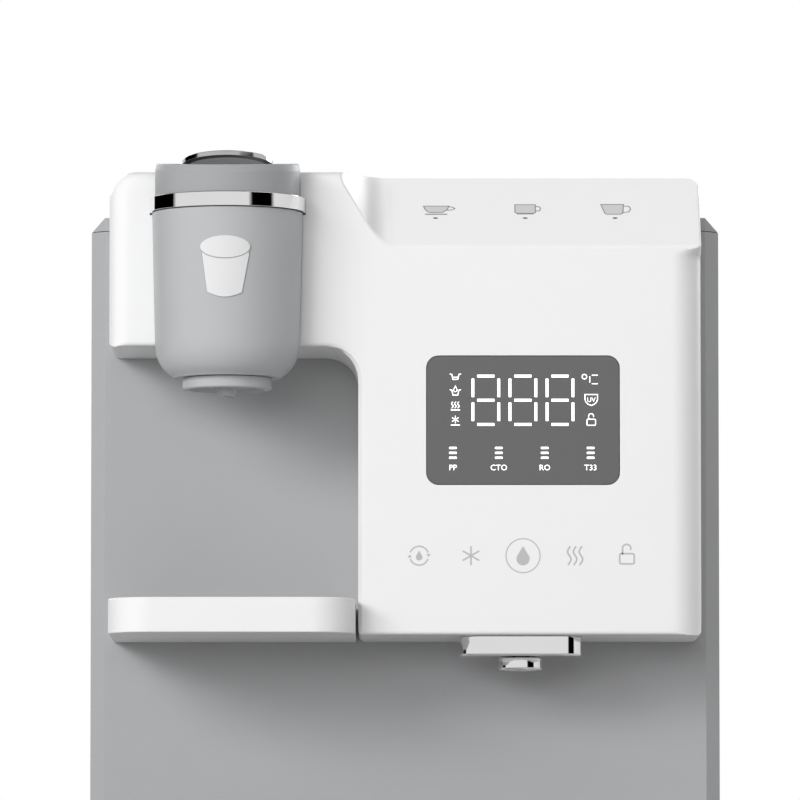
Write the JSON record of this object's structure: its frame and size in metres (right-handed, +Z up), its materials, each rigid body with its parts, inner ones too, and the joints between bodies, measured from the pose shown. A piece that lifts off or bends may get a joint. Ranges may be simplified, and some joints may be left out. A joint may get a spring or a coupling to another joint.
{
  "type": "countertop water dispenser",
  "caption": "Countertop water dispenser with a capsule brew head, cup shelf, touch display, spout, filters and a lift-out rear tank.",
  "frame": {"origin": "middle of the footprint, on the surface the feet stand on", "axes": "+Z up, -Y is the front with the display and the brew head, +X to the viewer's right"},
  "size_m": [0.32, 0.41, 0.4488],
  "materials": {
    "shell_grey": "fine satin grain",
    "brew_grey": "satin, slightly metallic paint",
    "lid_grey": "satin",
    "head_white": "smooth semi-gloss",
    "shelf_white": "smooth semi-gloss",
    "white_plastic": "moulded",
    "chrome": "polished plating",
    "steel": "brushed",
    "aluminium": "extruded",
    "window_smoke": "smoked gloss panel",
    "lens_smoke": "smoked gloss",
    "tank_clear": "clear tinted",
    "rubber": "matte",
    "black_plastic": "fine grain",
    "board": "solder mask",
    "insulation": "foam",
    "silicone": "translucent tube"
  },
  "bodies": {
    "machine": {"base_pan": "shell_grey", "foot_front_left": "rubber", "foot_front_right": "rubber", "foot_rear_left": "rubber", "foot_rear_right": "rubber", "body_shell": "shell_grey", "rear_panel": "shell_grey", "top_frame": "shell_grey", "top_cover": "head_white", "filter_cover_pin": "steel", "tank_seat": "shell_grey", "valve_socket": "white_plastic", "power_inlet": "black_plastic", "head_shell": "head_white", "display_window": "window_smoke", "display_board": "board", "touch_board": "board", "main_board": "board", "power_supply": "steel", "brew_housing": "brew_grey", "brew_ring": "chrome", "lid_hinge_block": "lid_grey", "lid_hinge_pin": "steel", "capsule_holder": "black_plastic", "brew_nozzle": "brew_grey", "spout_block": "chrome", "spout_nozzle": "chrome", "nozzle_insert": "white_plastic", "shelf_bracket": "steel", "filter_manifold": "black_plastic", "booster_pump": "black_plastic", "brew_pump": "black_plastic", "hot_tank": "steel", "cold_tank": "insulation", "heat_sink": "aluminium", "fan_frame": "black_plastic", "uv_chamber": "steel", "solenoid_valve": "white_plastic", "spout_pipe": "silicone", "brew_pipe": "silicone"},
    "brew_lid": {"brew_lid": "lid_grey", "pierce_plate": "black_plastic"},
    "lid_lever": {"lid_lever": "lens_smoke", "lever_rim": "chrome"},
    "filter_cover": {"filter_cover": "head_white"},
    "water_tank": {"water_tank": "tank_clear", "tank_valve": "white_plastic"},
    "tank_lid": {"tank_lid": "head_white"},
    "filter_pp": {"filter_pp": "white_plastic"},
    "filter_cto": {"filter_cto": "white_plastic"},
    "filter_ro": {"filter_ro": "white_plastic"},
    "filter_t33": {"filter_t33": "white_plastic"},
    "cup_shelf": {"cup_shelf": "shelf_white"},
    "shelf_grille": {"shelf_grille": "steel"},
    "drip_tray": {"drip_tray": "shelf_white"},
    "drip_grille": {"drip_grille": "steel"},
    "fan_rotor": {"fan_rotor": "black_plastic"},
    "power_switch": {"power_switch": "black_plastic"},
    "drain_cap": {"drain_cap": "black_plastic"}
  },
  "joints": [
    {"name": "lid_hinge", "type": "hinge", "parent": "machine", "child": "brew_lid", "pos_m": [-0.08885, -0.125, 0.437], "axis": [-1, 0, 0], "range_deg": [0, 75]},
    {"name": "lever_hinge", "type": "hinge", "parent": "brew_lid", "child": "lid_lever", "pos_m": [-0.08885, -0.1435, 0.4407], "axis": [-1, 0, 0], "range_deg": [-8, 25], "stiffness_Nm_per_rad": 0.15},
    {"name": "filter_cover_hinge", "type": "hinge", "parent": "machine", "child": "filter_cover", "pos_m": [0, 0.045, 0.4333], "axis": [1, 0, 0], "range_deg": [0, 85]},
    {"name": "tank_lift", "type": "slide", "parent": "machine", "child": "water_tank", "axis": [0, 0, 1], "range_m": [0, 0.1]},
    {"name": "tank_lid_lift", "type": "slide", "parent": "water_tank", "child": "tank_lid", "axis": [0, 0, 1], "range_m": [0, 0.05]},
    {"name": "filter_pp_twist", "type": "hinge", "parent": "machine", "child": "filter_pp", "pos_m": [-0.105, 0.075, 0.066], "axis": [0, 0, 1], "range_deg": [0, 60]},
    {"name": "filter_cto_twist", "type": "hinge", "parent": "machine", "child": "filter_cto", "pos_m": [-0.035, 0.075, 0.066], "axis": [0, 0, 1], "range_deg": [0, 60]},
    {"name": "filter_ro_twist", "type": "hinge", "parent": "machine", "child": "filter_ro", "pos_m": [0.035, 0.075, 0.066], "axis": [0, 0, 1], "range_deg": [0, 60]},
    {"name": "filter_t33_twist", "type": "hinge", "parent": "machine", "child": "filter_t33", "pos_m": [0.105, 0.075, 0.066], "axis": [0, 0, 1], "range_deg": [0, 60]},
    {"name": "cup_shelf_slide", "type": "slide", "parent": "machine", "child": "cup_shelf", "axis": [0, -1, 0], "range_m": [0, 0.045]},
    {"name": "shelf_grille_lift", "type": "slide", "parent": "cup_shelf", "child": "shelf_grille", "axis": [0, 0, 1], "range_m": [0, 0.02]},
    {"name": "drip_tray_slide", "type": "slide", "parent": "machine", "child": "drip_tray", "axis": [0, -1, 0], "range_m": [0, 0.115]},
    {"name": "drip_grille_lift", "type": "slide", "parent": "drip_tray", "child": "drip_grille", "axis": [0, 0, 1], "range_m": [0, 0.02]},
    {"name": "fan_spin", "type": "hinge", "parent": "machine", "child": "fan_rotor", "pos_m": [0.1255, -0.022, 0.28], "axis": [1, 0, 0], "continuous": true},
    {"name": "switch_rock", "type": "hinge", "parent": "machine", "child": "power_switch", "pos_m": [-0.0505, 0.199, 0.055], "axis": [1, 0, 0], "range_deg": [-8, 8]},
    {"name": "drain_cap_twist", "type": "hinge", "parent": "machine", "child": "drain_cap", "pos_m": [0.1, 0.195, 0.055], "axis": [0, 1, 0], "range_deg": [0, 90]}
  ]
}
